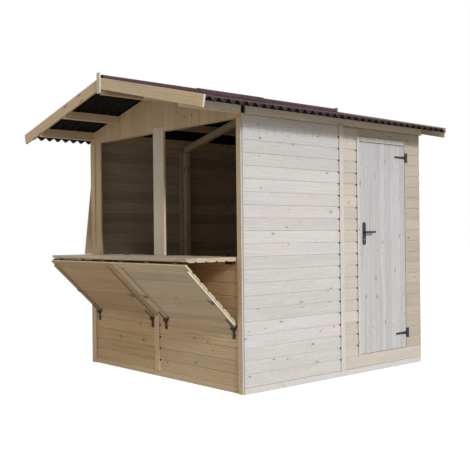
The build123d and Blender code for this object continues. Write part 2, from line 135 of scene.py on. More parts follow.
def sawnWood(name, look):
    # Softwood along the "grain" attribute: growth bands bent by slow noise and by knots, fine fibres, small
    # oval knots, a tone for each board
    mat, tree, shader = newMaterial(name)
    grain = addNode(tree, "ShaderNodeAttribute", {"attribute_name": "grain"}).outputs["Vector"]
    tone = addNode(tree, "ShaderNodeAttribute", {"attribute_name": "tone"}).outputs["Fac"]
    # each board cuts another stretch of the pattern
    shifts = {axis: times(tone, reach) for axis, reach in enumerate((37.0, 11.3, 5.1))}
    shift = addNode(tree, "ShaderNodeCombineXYZ", None, shifts).outputs[0]
    place = addNode(tree, "ShaderNodeVectorMath", {"operation": "ADD"}, {0: grain, 1: shift}).outputs[0]
    along, across, through = addNode(tree, "ShaderNodeSeparateXYZ", None, {0: place}).outputs
    # knots: cells of a flat pattern, some of them kept, each with its own radius
    girth = plus(across, through)
    knotPlace = addNode(tree, "ShaderNodeCombineXYZ", None, {0: along, 1: girth, 2: 0.0}).outputs[0]
    cells = addNode(tree, "ShaderNodeTexVoronoi", {"voronoi_dimensions": "2D"},
                    {"Vector": stretched(knotPlace, look["knotCells"] + (0.0,)), "Scale": 1.0})
    chosen = addNode(tree, "ShaderNodeSeparateColor", None, {"Color": cells.outputs["Color"]})
    keep = maths("GREATER_THAN", chosen.outputs[0], 1.0 - look["knots"])
    radius = addNode(tree, "ShaderNodeMapRange", None,
                     {"Value": chosen.outputs[1], "To Min": 0.03, "To Max": look["knotSize"]}).outputs[0]
    near = maths("DIVIDE", cells.outputs["Distance"], radius)
    core = times(smoothStep(near, 0.7, 1.2, 1.0, 0.0), keep)
    halo = times(smoothStep(near, 0.8, 3.4, 1.0, 0.0), keep)
    # growth bands: |sin| of the place across the grain, bent by slow noise and round the knots
    sway = noise(stretched(place, (0.8, 6.0, 6.0)), detail=2.0)
    bent = plus(times(across, 58.0), times(sway, 8.0))
    bent = plus(bent, times(halo, 1.6))
    bent = plus(bent, times(through, 25.0))
    waves = maths("ABSOLUTE", maths("SINE", times(bent, 3.1416)))
    bands = maths("POWER", waves, 3.0)
    fibres = noise(stretched(place, (5.0, 340.0, 340.0)))
    streaks = noise(stretched(place, (1.2, 55.0, 55.0)))
    blotch = noise(stretched(place, (1.4, 9.0, 9.0)))
    patch = noise(stretched(place, (1.1, 3.5, 3.5)), detail=2.0)
    fleck = noise(stretched(place, (22.0, 120.0, 120.0)), detail=2.0)
    # pale early wood, darker late wood, warm halo and dark core at knots, then board tone, fibres and grime
    lateShare = times(bands, smoothStep(blotch, 0.3, 0.7, 0.2 * look["bands"], look["bands"]))
    lateShare = plus(lateShare, smoothStep(streaks, 0.45, 0.75, 0.0, look["streaks"]), True)
    pale, warm, late, knot = (linear(rgb) for rgb in look["colours"])
    colour = mixColour(tree, smoothStep(patch, 0.3, 0.7, 0.0, 0.7), pale, warm)
    colour = mixColour(tree, lateShare, colour, late)
    colour = mixColour(tree, times(halo, 0.5), colour, late)
    colour = mixColour(tree, times(core, 0.75), colour, knot)
    spread = look["spread"]
    lift = smoothStep(tone, 0.0, 1.0, 1.0 - spread, 1.0 + spread * 0.6)
    lift = times(lift, smoothStep(fibres, 0.3, 0.7, 0.94, 1.05))
    lift = times(lift, smoothStep(blotch, 0.25, 0.75, 1.0 - look["grime"] * 0.4, 1.04))
    lift = times(lift, smoothStep(fleck, 0.3, 0.7, 0.955, 1.03))
    grey = addNode(tree, "ShaderNodeCombineColor", None, {0: lift, 1: lift, 2: lift}).outputs[0]
    colour = mixColour(tree, 1.0, colour, grey, "MULTIPLY")
    height = plus(times(bands, 0.5), times(fibres, 0.6))
    height = maths("SUBTRACT", height, times(core, 0.6))
    rough = smoothStep(bands, 0.0, 1.0, look["rough"] + 0.08, look["rough"] - 0.06)
    applyFinish(shader, colour, rough, height, 0.3, 0.001)
    shader.inputs["Specular IOR Level"].default_value = 0.25
    return mat


def pressedFibre(name, look):
    # Pressed fibre sheet: mottled colour, streaks down the slope, fine grit, a darker band at the eaves
    mat, tree, shader = newMaterial(name)
    place = addNode(tree, "ShaderNodeTexCoord").outputs["Object"]
    mottle = noise(place, 9.0, 5.0)
    grit = noise(place, 420.0, 2.0)
    streak = noise(stretched(place, (1.5, 30.0, 4.0)))
    share = plus(smoothStep(mottle, 0.35, 0.7, 0.0, 0.5),
                 smoothStep(streak, 0.4, 0.75, 0.0, 0.4), True)
    colour = mixColour(tree, share, linear(look["base"]), linear(look["worn"]))
    colour = mixColour(tree, smoothStep(grit, 0.5, 0.8, 0.0, 0.35), colour, linear(look["base"]))
    out = maths("ABSOLUTE", addNode(tree, "ShaderNodeSeparateXYZ", None, {0: place}).outputs[0])
    # the colour darkens to the look's edge colour in the last few cm before the eaves
    eaveDarkening = smoothStep(out, eaveEdge - 0.06, eaveEdge - 0.015)
    colour = mixColour(tree, eaveDarkening, colour, linear(look["edge"]))
    rough = smoothStep(grit, 0.3, 0.7, look["rough"] - 0.1, look["rough"] + 0.15)
    height = plus(times(mottle, 0.6), times(grit, 0.5))
    applyFinish(shader, colour, rough, height, 0.5, 0.001)
    shader.inputs["Specular IOR Level"].default_value = look["shine"]
    return mat


def coatedSteel(name, look):
    # Painted or plated fitting: thin coat with scuffs and fine pitting
    mat, tree, shader = newMaterial(name)
    place = addNode(tree, "ShaderNodeTexCoord").outputs["Object"]
    scuff = noise(place, 60.0, 5.0, 0.65)
    worn = smoothStep(scuff, 0.5, 0.72)
    colour = mixColour(tree, worn, linear(look["base"]), linear(look["scuffed"]))
    rough = smoothStep(scuff, 0.3, 0.8, look["rough"] - 0.08, look["rough"] + 0.2)
    applyFinish(shader, colour, rough, noise(place, 700.0, 2.0), 0.3, 0.0004)
    shader.inputs["Metallic"].default_value = look["metallic"]
    return mat


# Colours: early wood, its warmer patches, late wood and knots. What a look doesn't say is as in plainWood.
plainWood = {"spread": 0.10, "grime": 0.2, "bands": 0.5, "streaks": 0.4, "knots": 0.10, "knotSize": 0.09,
             "knotCells": (5.0, 10.0), "rough": 0.6}
woodLooks = {
    # a paler, greyer copy of the wood for the sunlit side wall and for faces turned to the sun: painted
    # sunlight
    "paintedSunlitWood": {"colours": ((208, 208, 210), (210, 205, 196), (190, 185, 178), (118, 104, 90)),
        "spread": 0.05, "grime": 0.15, "bands": 0.4, "streaks": 0.3, "knots": 0.17, "knotSize": 0.085,
        "knotCells": (5.5, 10.0)},
    "lockWood": {"colours": ((205, 199, 191), (208, 197, 183), (186, 173, 158), (112, 88, 66)),
        "spread": 0.06, "bands": 0.4, "streaks": 0.25, "knotSize": 0.08, "knotCells": (5.5, 10.0)},
    "hingeWood": {"colours": ((191, 182, 168), (194, 181, 162), (168, 154, 136), (106, 84, 62)),
        "spread": 0.07, "grime": 0.25, "bands": 0.45, "streaks": 0.3, "knotSize": 0.08,
        "knotCells": (5.5, 10.0)},
    # a paler copy for the eave timber's faces turned to the sun: painted sunlight
    "paintedSunlitFasciaWood": {"colours": ((226, 220, 208), (226, 214, 196), (202, 188, 168), (118, 90, 64)),
        "spread": 0.05, "bands": 0.45, "streaks": 0.3, "knots": 0.08, "knotCells": (4.5, 12.0)},
    "wallWood": {"colours": ((208, 190, 160), (212, 184, 148), (180, 152, 115), (110, 76, 48)),
        "spread": 0.07, "grime": 0.22, "bands": 0.6, "streaks": 0.45, "rough": 0.62},
    "frontLeftWood": {"colours": ((205, 182, 148), (209, 178, 138), (174, 142, 102), (108, 74, 46)),
        "grime": 0.3, "bands": 0.6, "streaks": 0.5, "knots": 0.08, "rough": 0.62},
    # front boards in the shade under the props, warmer and brighter: painted warm bounce light
    "paintedBounceWood": {"colours": ((220, 191, 153), (220, 185, 143), (196, 158, 117), (120, 78, 46)),
        "spread": 0.05, "grime": 0.25, "knots": 0.08, "rough": 0.62},
    # the stall's inside and the boards' backs: the wood's own colour, darkened and greyed with painted shade
    "innerWood": {"colours": ((196, 181, 162), (198, 176, 152), (168, 146, 122), (120, 92, 68)),
        "spread": 0.16, "grime": 0.35, "bands": 0.6, "streaks": 0.5, "knots": 0.05, "rough": 0.65},
    "trimWood": {"colours": ((214, 197, 168), (216, 192, 158), (190, 163, 127), (118, 82, 52)),
        "spread": 0.08, "knots": 0.12, "knotSize": 0.10, "knotCells": (3.5, 12.0)},
    "greyWood": {"colours": ((212, 204, 192), (212, 198, 178), (190, 176, 158), (118, 92, 68)),
        "spread": 0.06, "bands": 0.45, "streaks": 0.35, "knotCells": (3.5, 12.0)},
    "doorWood": {"colours": ((197, 197, 200), (199, 197, 194), (166, 163, 163), (112, 98, 86)),
        "spread": 0.06, "knots": 0.12, "knotSize": 0.085, "knotCells": (5.0, 11.0)},
    "counterWood": {"colours": ((201, 189, 170), (199, 184, 160), (174, 151, 122), (112, 82, 56)),
        "grime": 0.3, "rough": 0.62},
    "leftPropWood": {"colours": ((184, 166, 138), (188, 162, 128), (156, 130, 98), (100, 70, 44)),
        "grime": 0.3, "bands": 0.6, "streaks": 0.45, "rough": 0.62},
    # near white, for the counters' and props' right ends turned to the sun: painted sunlight
    "paintedSunlitEndWood": {"colours": ((234, 230, 222), (236, 226, 208), (216, 204, 184), (150, 122, 94)),
        "spread": 0.05, "grime": 0.15, "bands": 0.4, "streaks": 0.3, "knots": 0.04, "knotSize": 0.08,
        "knotCells": (6.0, 12.0), "rough": 0.65},
}
fibreLooks = {
    # edge: the colour that the sheets darken to towards the eaves
    "roofTop": {"base": (75, 52, 56), "worn": (92, 69, 74), "edge": (42, 29, 32),
        "rough": 0.72, "shine": 0.25},
    "roofUnder": {"base": (20, 20, 21), "worn": (32, 31, 31), "edge": (18, 17, 17),
        "rough": 0.85, "shine": 0.15},
}
steelLooks = {
    "blackSteel": {"base": (34, 33, 32), "scuffed": (72, 66, 58), "metallic": 0.0, "rough": 0.42},
    "bronzeSteel": {"base": (50, 40, 31), "scuffed": (94, 76, 54), "metallic": 0.2, "rough": 0.45},
    "greySteel": {"base": (112, 110, 108), "scuffed": (84, 78, 72), "metallic": 0.6, "rough": 0.42},
    "brightSteel": {"base": (150, 150, 148), "scuffed": (112, 108, 102), "metallic": 0.85, "rough": 0.32},
}
finishes = {name: sawnWood(name, {**plainWood, **look}) for name, look in woodLooks.items()}
finishes.update({name: pressedFibre(name, look) for name, look in fibreLooks.items()})
finishes.update({name: coatedSteel(name, look) for name, look in steelLooks.items()})
print("materials made")

# the paler third finish on faces turned to the sun is painted sunlight
sunSide = 1.1  # faces that look along +X beyond this x take a piece's third finish, the sunlit one
softEdge = {"segments": 2, "sharper": math.radians(40)}
timberSettings = {"weld": 2e-5, "flat": 0.01, "bevel": 0.0015}


def makePiece(name, rows, finish, body="stall", bevel=0.0, replaced=(), sunFrom=sunSide):
    # rows: (verts, faces, grain, tone, inner) for each part; inner marks faces that take the second finish
    verts, faces, grain, tone, inner = [], [], [], [], []
    base = 0
    for v, f, g, t, n in rows:
        verts.append(v)
        grain.append(g)
        tone.append(t)
        inner.append(n)
        faces += [[i + base for i in face] for face in f]
        base += len(v)
    verts, grain, tone, inner = (np.concatenate(a) for a in (verts, grain, tone, inner))
    mesh = bpy.data.meshes.new(name)
    mesh.from_pydata(verts.tolist(), [], faces)
    mesh.update()
    obj = bpy.data.objects.new(name, mesh)
    bpy.context.scene.collection.objects.link(obj)
    layer = mesh.attributes.new("grain", "FLOAT_VECTOR", "POINT")
    layer.data.foreach_set("vector", grain.astype(np.float32).ravel())
    layer = mesh.attributes.new("tone", "FLOAT", "POINT")
    layer.data.foreach_set("value", tone.astype(np.float32).ravel())
    finishList = [finish] if isinstance(finish, str) else finish
    for key in finishList:
        mesh.materials.append(finishes[key])
    index = (inner > 0).astype(np.int32) * (len(finishList) > 1)
    # faces turned to the sun take the third finish, a paler copy of the wood: painted sunlight
    if len(finishList) > 2:
        normals = np.zeros(len(faces) * 3)
        centres = np.zeros(len(faces) * 3)
        mesh.polygons.foreach_get("normal", normals)
        mesh.polygons.foreach_get("center", centres)
        index[(normals[0::3] > 0.8) & (centres[0::3] > sunFrom)] = 2
    mesh.polygons.foreach_set("material_index", index.astype(np.int32))
    if bevel:
        mod = obj.modifiers.new("softEdges", "BEVEL")
        mod.width = bevel
        mod.segments = softEdge["segments"]
        mod.limit_method = "ANGLE"
        mod.angle_limit = softEdge["sharper"]
    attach(obj, body)
    if replaced:
        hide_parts(*replaced)
    return obj


def mergedNodes(nodeNames):
    bm = bmesh.new()
    for nodeName in nodeNames:
        bm.from_mesh(nodes[nodeName].data)
    bmesh.ops.remove_doubles(bm, verts=bm.verts, dist=timberSettings["weld"])
    return bm


def looseParts(bm):
    # the mesh's separate solids, each a list of its vertices
    bm.verts.ensure_lookup_table()
    seen = np.zeros(len(bm.verts), dtype=bool)
    parts = []
    for seed in bm.verts:
        if seen[seed.index]:
            continue
        stack = [seed]
        members = []
        seen[seed.index] = True
        while stack:
            v = stack.pop()
            members.append(v)
            for e in v.link_edges:
                other = e.other_vert(v)
                if not seen[other.index]:
                    seen[other.index] = True
                    stack.append(other)
        parts.append(members)
    return parts


def solidBoxes(nodeName):
    bm = mergedNodes([nodeName])
    places = [np.array([v.co for v in members]) for members in looseParts(bm)]
    bm.free()
    return [(co.min(axis=0), co.max(axis=0)) for co in places]


def nodeRows(nodeNames):
    # The nodes' triangles, merged and joined into flat faces, with the grain along each member's longest edge
    bm = mergedNodes(nodeNames)
    bmesh.ops.dissolve_limit(bm, angle_limit=timberSettings["flat"], verts=bm.verts, edges=bm.edges)
    grain = np.zeros((len(bm.verts), 3))
    tone = np.zeros(len(bm.verts))
    for members in looseParts(bm):
        longest = max([e for v in members for e in v.link_edges], key=lambda e: e.calc_length())
        widest = max([f for v in members for f in v.link_faces], key=lambda f: f.calc_area())
        along = np.array((longest.verts[1].co - longest.verts[0].co).normalized())
        through = np.array(widest.normal)
        through = through - along * (through @ along)
        through /= max(np.linalg.norm(through), 1e-9)
        across = np.cross(through, along)
        index = [v.index for v in members]
        co = np.array([v.co for v in members])
        grain[index] = np.stack([co @ along, co @ across, co @ through], axis=1)
        tone[index] = rng.random()
    verts = np.array([v.co for v in bm.verts])
    faces = [[v.index for v in f.verts] for f in bm.faces]
    bm.free()
    return [(verts, faces, grain, tone, np.zeros(len(faces), dtype=int))]


def nodePiece(name, nodeNames, finish, body="stall", bevel=timberSettings["bevel"],
              sunFrom=sunSide):
    return makePiece(name, nodeRows(nodeNames), finish, body, bevel, nodeNames, sunFrom)


def boxRows(boxes):
    # Plain battens: eight corners each, grain along the longest side
    rows = []
    order = np.array([[0, 0, 0], [1, 0, 0], [1, 1, 0], [0, 1, 0], [0, 0, 1], [1, 0, 1], [1, 1, 1], [0, 1, 1]])
    faces = [[0, 3, 2, 1], [4, 5, 6, 7], [0, 1, 5, 4], [2, 3, 7, 6], [1, 2, 6, 5], [3, 0, 4, 7]]
    for low, high in boxes:
        low, high = np.array(low), np.array(high)
        verts = low + order * (high - low)
        axes = np.argsort(high - low)[::-1]
        grain = verts[:, axes] + rng.random() * 3
        rows.append((verts, faces, grain, np.full(len(verts), rng.random()), np.zeros(len(faces), dtype=int)))
    return rows


def prismFaces(n, turned):
    # sides and both ends of a profile of n points and its copy at the far end, turned round where asked
    i = np.arange(n)
    j = (i + 1) % n
    faces = np.stack([i, j, j + n, i + n], axis=1).tolist() + [i[::-1].tolist(), (i + n).tolist()]
    return [f[::-1] for f in faces] if turned else faces


# A weather board in section: chamfer at the foot, scoop under its top edge, boards touching at the back.
# The scoop's curve is in shares of its height, from the top, and of its depth.
fineShape = {"chamfer": 0.002, "scoopHigh": 0.013, "scoopDeep": 0.0055, "gap": 0.0008, "inner": 0.0012}
plankShape = {"chamfer": 0.0015, "scoopHigh": 0.0015, "scoopDeep": 0.0015, "gap": 0.0006, "inner": 0.0008}
boarding = {"curve": ((0.7, 0.35), (0.45, 0.85), (0.3, 1.0)), "narrowest": 0.012, "tones": 80,
            "shift": 9.0, "scoopShare": 0.4, "lapShare": 0.7, "lap": 0.001}


def boardRows(origin, along, up, inward, length, low, high, thick, pitch=boardPitch, start=0.0,
              shape=fineShape, seed=0):
    # Each board is a closed profile (u up the wall, w into the wall) carried straight along the wall:
    # P = origin + s*along + u*up + w*inward, s in {0, length}. Boards break at start + k*pitch.
    origin, along, up, inward = (np.array(v, dtype=float) for v in (origin, along, up, inward))
    first = int(math.floor((low - start) / pitch + 1e-6))
    last = int(math.ceil((high - start) / pitch - 1e-6))
    table = np.random.default_rng(seed).random((boarding["tones"], 2))
    turned = np.dot(np.cross(up, inward), along) > 0
    gap, chamfer, inner, deep = shape["gap"], shape["chamfer"], shape["inner"], shape["scoopDeep"]
    back = min(max(deep, chamfer) + boarding["lap"], thick * boarding["lapShare"])
    rows = []
    for k in range(first, last):
        a = max(low, start + k * pitch)
        b = min(high, start + (k + 1) * pitch)
        if b - a < boarding["narrowest"]:
            continue
        scoop = min(shape["scoopHigh"], (b - a) * boarding["scoopShare"])
        curve = [(b - scoop * rise, deep * depth) for rise, depth in boarding["curve"]]
        profile = np.array([(a, back), (a + gap, chamfer), (a + gap + chamfer, 0.0), (b - scoop, 0.0)] + curve
                           + [(b, deep), (b, thick - inner), (b - inner, thick), (a + inner, thick),
                              (a, thick - inner)])
        n = len(profile)
        s = np.repeat([0.0, length], n)
        u = np.tile(profile[:, 0], 2)
        w = np.tile(profile[:, 1], 2)
        verts = origin + s[:, None] * along + u[:, None] * up + w[:, None] * inward
        marks = np.zeros(n + 2, dtype=int)
        marks[n - 4:n - 1] = 1  # the board's back and its two eased edges
        tone, offset = table[k % boarding["tones"]]
        grain = np.stack([s + offset * boarding["shift"] + origin @ along, u, w], axis=1)
        rows.append((verts, prismFaces(n, turned), grain, np.full(2 * n, tone), marks))
    return rows


wall = {"thick": 0.019, "plankTop": 0.175, "paintedBounceFrom": 0.605, "capGap": 0.008, "plankSeed": 19, "seeds": {
    "right_wall_front": 12, "right_wall_lock_side": 11, "right_wall_hinge_side": 17,
    "right_wall_over_door": 18, "left_wall_front": 13, "left_wall_rear": 13, "rear_wall_left": 14,
    "rear_wall_right": 14, "front_wall_left": 15, "front_wall_right": 16}}


def sideRows(nodeName, outward, low=-1.0, short=0.0):
    # boards of a side wall, from low upwards and short of the panel's top
    (x0, y0, z0), (x1, y1, z1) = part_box(nodeName)
    return boardRows((x1 if outward > 0 else x0, y0, 0), (0, 1, 0), (0, 0, 1), (-outward, 0, 0), y1 - y0,
                     max(z0, low), z1 - short, wall["thick"], start=railTop, seed=wall["seeds"][nodeName])


def endRows(nodeName, outward, low=-1.0, high=9.0):
    # boards of a front or rear wall, between low and high
    (x0, y0, z0), (x1, y1, z1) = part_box(nodeName)
    return boardRows((x0, y1 if outward > 0 else y0, 0), (1, 0, 0), (0, 0, 1), (0, -outward, 0), x1 - x0,
                     max(z0, low), min(z1, high), wall["thick"], start=railTop, seed=wall["seeds"][nodeName])


# the boards' backs take the inner wood, darkened with painted shade
def boards(name, rows, outside, replaced=()):
    return makePiece(name, rows, [outside, "innerWood"], replaced=replaced)


# the sunlit side wall's boards take the paler copy of the wood: painted sunlight
boards("sideBoardsRight", sideRows("right_wall_front", 1), "paintedSunlitWood", ["right_wall_front"])
boards("lockSideBoards", sideRows("right_wall_lock_side", 1, wall["plankTop"], wall["capGap"]), "lockWood",
       ["right_wall_lock_side"])
boards("hingeSideBoards", sideRows("right_wall_hinge_side", 1, wall["plankTop"])
       + sideRows("right_wall_over_door", 1), "hingeWood", ["right_wall_hinge_side", "right_wall_over_door"])
(_, plankStart, plankLow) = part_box("right_wall_lock_side")[0]
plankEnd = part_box("right_wall_hinge_side")[1][1]
plank = boardRows((halfWidth, plankStart, 0), (0, 1, 0), (0, 0, 1), (-1, 0, 0), plankEnd - plankStart,
                  plankLow, wall["plankTop"], wall["thick"], wall["plankTop"] - plankLow, plankLow,
                  plankShape, wall["plankSeed"])
boards("underDoorPlank", plank, "lockWood", ["right_wall_under_door"])
boards("sideBoardsLeft", sideRows("left_wall_front", -1) + sideRows("left_wall_rear", -1), "wallWood",
       ["left_wall_front", "left_wall_rear"])
boards("rearBoards", endRows("rear_wall_left", 1) + endRows("rear_wall_right", 1), "wallWood",
       ["rear_wall_left", "rear_wall_right"])
boards("frontBoardsLeft", endRows("front_wall_left", -1, high=wall["paintedBounceFrom"]), "frontLeftWood",
       ["front_wall_left"])
boards("frontBoardsRight", endRows("front_wall_right", -1, high=wall["paintedBounceFrom"]), "wallWood",
       ["front_wall_right"])
# these upper front boards, in the shade under the props, take a warmer, brighter copy: painted warm bounce
# light
boards("frontBoardsShaded", endRows("front_wall_left", -1, low=wall["paintedBounceFrom"])
       + endRows("front_wall_right", -1, low=wall["paintedBounceFrom"]), "paintedBounceWood")
print("wall boards laid")

# the third finish of these, on faces turned to the sun, is the paler copy: painted sunlight
trimPaintedSunlit = ["trimWood", "trimWood", "paintedSunlitWood"]
# the eave timber's faces turned to the sun take a paler copy: painted sunlight
eaveTimber = ["trimWood", "trimWood", "paintedSunlitFasciaWood"]
timber = {
    "baseRails": (trimPaintedSunlit, "base_rails_across", "base_rails_along"),
    # the floor deck, studs and top plates take the inner wood, darkened with painted shade
    "floorJoists": ("trimWood", "floor_joists"), "floorDeck": ("innerWood", "floor_deck"),
    "studs": ("innerWood", "wall_studs"), "topPlates": ("innerWood", "top_plates"),
    "frontSill": ("trimWood", "front_sill"), "frontPosts": ("trimWood", "front_posts"),
    "frontHeader": ("trimWood", "front_header"), "roofPurlins": (eaveTimber, "purlins"),
    "middleRafters": ("trimWood", "middle_rafters"), "middlePosts": ("trimWood", "middle_posts"),
    "eaveFascias": (eaveTimber, "eave_fascias"),
    "bargeBoards": (trimPaintedSunlit, "front_barge_boards", "rear_barge_boards"),
    "apexFinials": (trimPaintedSunlit, "finials"), "leftCheek": ("trimWood", "left_cheek"),
}
for pieceName, (finish, *nodeNames) in timber.items():
    nodePiece(pieceName, nodeNames, finish, sunFrom=-halfWidth if pieceName == "apexFinials" else sunSide)
print("timber made")

batten = {"lath": 0.006, "above": 0.004, "below": 0.020, "cornerOut": 1.1, "endClear": 0.03, "bevel": 0.001,
          "shadeOut": 0.009, "shadeIn": 0.012, "shadeDeep": 0.005, "shadeLow": 0.0125, "shadeHigh": 0.001,
          "shadeBack": 0.001, "shadeUnder": (0.0005, 0.0004)}


def jointHeights(low, high):
    # the board joints that lie clear of a batten's ends
    heights = railTop + boardPitch * np.arange(1, boardsHigh)
    return [z for z in heights if low[2] + batten["endClear"] < z < high[2] - batten["endClear"]]


def notchedRows(low, high, axis, outward):
    # a lath over blocks that stop short of each board joint, so that the joint's hollow shows at its edge
    lathLow, lathHigh, blockLow, blockHigh = low.copy(), high.copy(), low.copy(), high.copy()
    if outward > 0:
        lathLow[axis] = blockHigh[axis] = high[axis] - batten["lath"]
    else:
        lathHigh[axis] = blockLow[axis] = low[axis] + batten["lath"]
    joints = jointHeights(low, high)
    feet = [low[2]] + [z + batten["above"] for z in joints]
    tops = [z - batten["below"] for z in joints] + [high[2]]
    boxes = [(lathLow, lathHigh)]
    for foot, top in zip(feet, tops):
        boxes.append((np.append(blockLow[:2], foot), np.append(blockHigh[:2], top)))
    return boxRows(boxes)


def shadeBlockRows(low, high, axis, outward):
    # dark blocks of painted shade in each joint's hollow behind the lath, which look out at the front or
    # right edge
    face = low[axis] if outward > 0 else high[axis]
    edge = low[1] if axis == 0 else high[0]
    side = -1 if axis == 0 else 1
    underLath, underFace = batten["shadeUnder"]
    behind = (-batten["shadeIn"], batten["lath"] - underLath, batten["below"] - batten["shadeBack"],
              batten["above"] - batten["shadeBack"])
    beside = (batten["shadeOut"], -underFace, batten["shadeLow"], -batten["shadeHigh"])
    boxes = []
    for z in jointHeights(low, high):
        for reach, proud, foot, top in (behind, beside):
            flat = sorted((edge, edge + side * reach))
            deep = sorted((face - outward * batten["shadeDeep"], face + outward * proud))
            across = [flat, deep] if axis == 1 else [deep, flat]
            boxes.append(((across[0][0], across[1][0], z - foot), (across[0][1], across[1][1], z + top)))
    return boxRows(boxes)


def facing(low, high):
    # a flat batten's thin axis, and the way along it that the batten looks out
    thin = 0 if high[0] - low[0] < high[1] - low[1] else 1
    return thin, math.copysign(1, low[thin] + high[thin])


def trimPiece(name, rows, finish, replaced=()):
    return makePiece(name, rows, finish, bevel=batten["bevel"], replaced=replaced)


battenRows = []
jointShade = []
battenBoxes = solidBoxes("cover_battens")
for low, high in battenBoxes:
    thin, outward = facing(low, high)
    if thin == 1 and abs(low[0] + high[0]) / 2 > batten["cornerOut"]:
        battenRows += boxRows([(low, high)])
    else:
        battenRows += notchedRows(low, high, thin, outward)
        jointShade += shadeBlockRows(low, high, thin, outward)
trimPiece("coverBattens", battenRows, trimPaintedSunlit, ["cover_battens"])

# Facing of the centre post, battens' feet over the base rail, trim round the door, painted shade in the gaps
# under the eaves
(dx0, dy0, dz0), (dx1, dy1, dz1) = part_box("door")
trim = {"postFace": 0.005, "postSides": (-0.061, 0.106), "postFoot": 1.155, "postTop": 2.374,
        "feet": ((-1.216, -1.136), (1.160, 1.216)), "thick": 0.012, "wide": 0.033, "clear": 0.003,
        "edge": 0.004, "head": 0.046, "headEnd": 0.02}
postLeft, postRight = trim["postSides"]
trimPiece("postFacing", boxRows([((postLeft, frontFace - trim["postFace"], trim["postFoot"]),
                                  (postRight, frontFace, trim["postTop"]))]), "greyWood")
trimPiece("battenFeet", boxRows([((x0, frontFace - trim["thick"], 0.0), (x1, frontFace, railTop))
                                 for x0, x1 in trim["feet"]]), trimPaintedSunlit)
trimOut = halfWidth + trim["thick"]
trimEdge = dy0 - trim["clear"]
trimTop = dz1 + trim["head"]
sideTrim = (np.array([halfWidth, trimEdge - trim["wide"], dz0 - trim["edge"]]),
            np.array([trimOut, trimEdge, trimTop]))
headTrim = ((halfWidth, trimEdge, dz1 + trim["edge"]), (trimOut, dy1 - trim["headEnd"], trimTop))
# the door trim's faces turned to the sun take the paler copy: painted sunlight
trimPiece("doorTrim", notchedRows(*sideTrim, 0, 1) + boxRows([headTrim]), ["lockWood", "lockWood", "paintedSunlitWood"])
jointShade += shadeBlockRows(*sideTrim, 0, 1)
# the dark blocks in the joints' hollows are painted shade, in the near-black finish
makePiece("jointPaintedShade", jointShade, "roofUnder")
# dark plates against the purlins' ends, in the gap between the gable and the fascia: painted shade
eaveGapShade = {"gap": 0.0002, "thick": 0.0025, "start": 0.0015, "clear": 0.001, "low": 0.0015, "high": 0.069}
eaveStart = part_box("eave_fascias")[0][1]
eaveGapShadeRows = []
for side in (-1, 1):
    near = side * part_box("purlins")[1][0]
    inside, outside = sorted((near + side * eaveGapShade["gap"], near + side * eaveGapShade["thick"]))
    eaveGapShadeRows += boxRows([((inside, frontFace + eaveGapShade["start"], wallTop + eaveGapShade["low"]),
                          (outside, eaveStart - eaveGapShade["clear"], wallTop + eaveGapShade["high"]))])
makePiece("paintedEaveGapShade", eaveGapShadeRows, "roofUnder")
print("battens and trim made")

gable = {"pitch": 0.094, "vee": 0.003, "thick": 0.019, "half": 0.029, "gap": 0.001, "corner": 1.151,
         "notches": ((-0.700, 0.060), (0.0, 0.095), (0.700, 0.060)), "span": 14, "endClear": 0.01,
         "thinnest": 0.002, "shortest": 0.004, "shift": 9}


def gableRows(nodeName, outward):
    # Upright boards: profile (x across, depth w) carried from the foot to the roof line or the notch over it:
    # P = (x, face + w, z), z in {foot, roofUnder(x)}.
    (x0, y0, z0), (x1, y1, z1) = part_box(nodeName)
    face = y0 if outward < 0 else y1
    breaks = set(np.round(np.arange(1 - gable["span"], gable["span"]) * gable["pitch"], 5).tolist())
    breaks = {b for b in breaks if x0 + gable["endClear"] < b < x1 - gable["endClear"]} | {x0, x1}
    edges = {-gable["corner"], gable["corner"], 0.0}
    notchHalf = gable["half"] + gable["gap"]
    for centre, depth in gable["notches"]:
        edges |= {round(centre - notchHalf, 5), round(centre + notchHalf, 5)}
    cuts = sorted(breaks | {e for e in edges if x0 < e < x1})
    rows = []
    tones = {}
    for a, b in zip(cuts[:-1], cuts[1:]):
        mid = (a + b) / 2
        if b - a < gable["thinnest"]:
            continue
        notch = [(centre, depth) for centre, depth in gable["notches"] if abs(mid - centre) < notchHalf]
        va = gable["vee"] if a in breaks else 0.0
        vb = gable["vee"] if b in breaks else 0.0
        shoulders = ([(a + va, 0.0)] if va else []) + ([(b - vb, 0.0)] if vb else [])
        profile = np.array([(a, va)] + shoulders + [(b, vb), (b, gable["thick"]), (a, gable["thick"])])
        n = len(profile)
        if abs(mid) > gable["corner"]:
            top = np.full(n, wallTop)
        elif notch:
            top = np.full(n, roofUnder(abs(notch[0][0]) + gable["half"]) - notch[0][1] - gable["gap"])
        else:
            top = roofUnder(profile[:, 0])
        if top.max() - z0 < gable["shortest"]:
            continue
        x = np.tile(profile[:, 0], 2)
        w = np.tile(profile[:, 1], 2)
        z = np.concatenate([np.full(n, z0), top])
        verts = np.stack([x, face - outward * w, z], axis=1)
        fresh = (rng.random(), rng.random() * gable["shift"])
        board, offset = tones.setdefault(int(math.floor(mid / gable["pitch"])), fresh)
        grain = np.stack([z + offset, x, w], axis=1)
        faces = prismFaces(n, outward > 0)
        rows.append((verts, faces, grain, np.full(2 * n, board), np.zeros(n + 2, dtype=int)))
    return rows


for end, outward in (("front", -1), ("rear", 1)):
    makePiece(end + "GableBoards", gableRows(end + "_gable", outward), "wallWood",
              replaced=[end + "_gable"])
print("gables made")


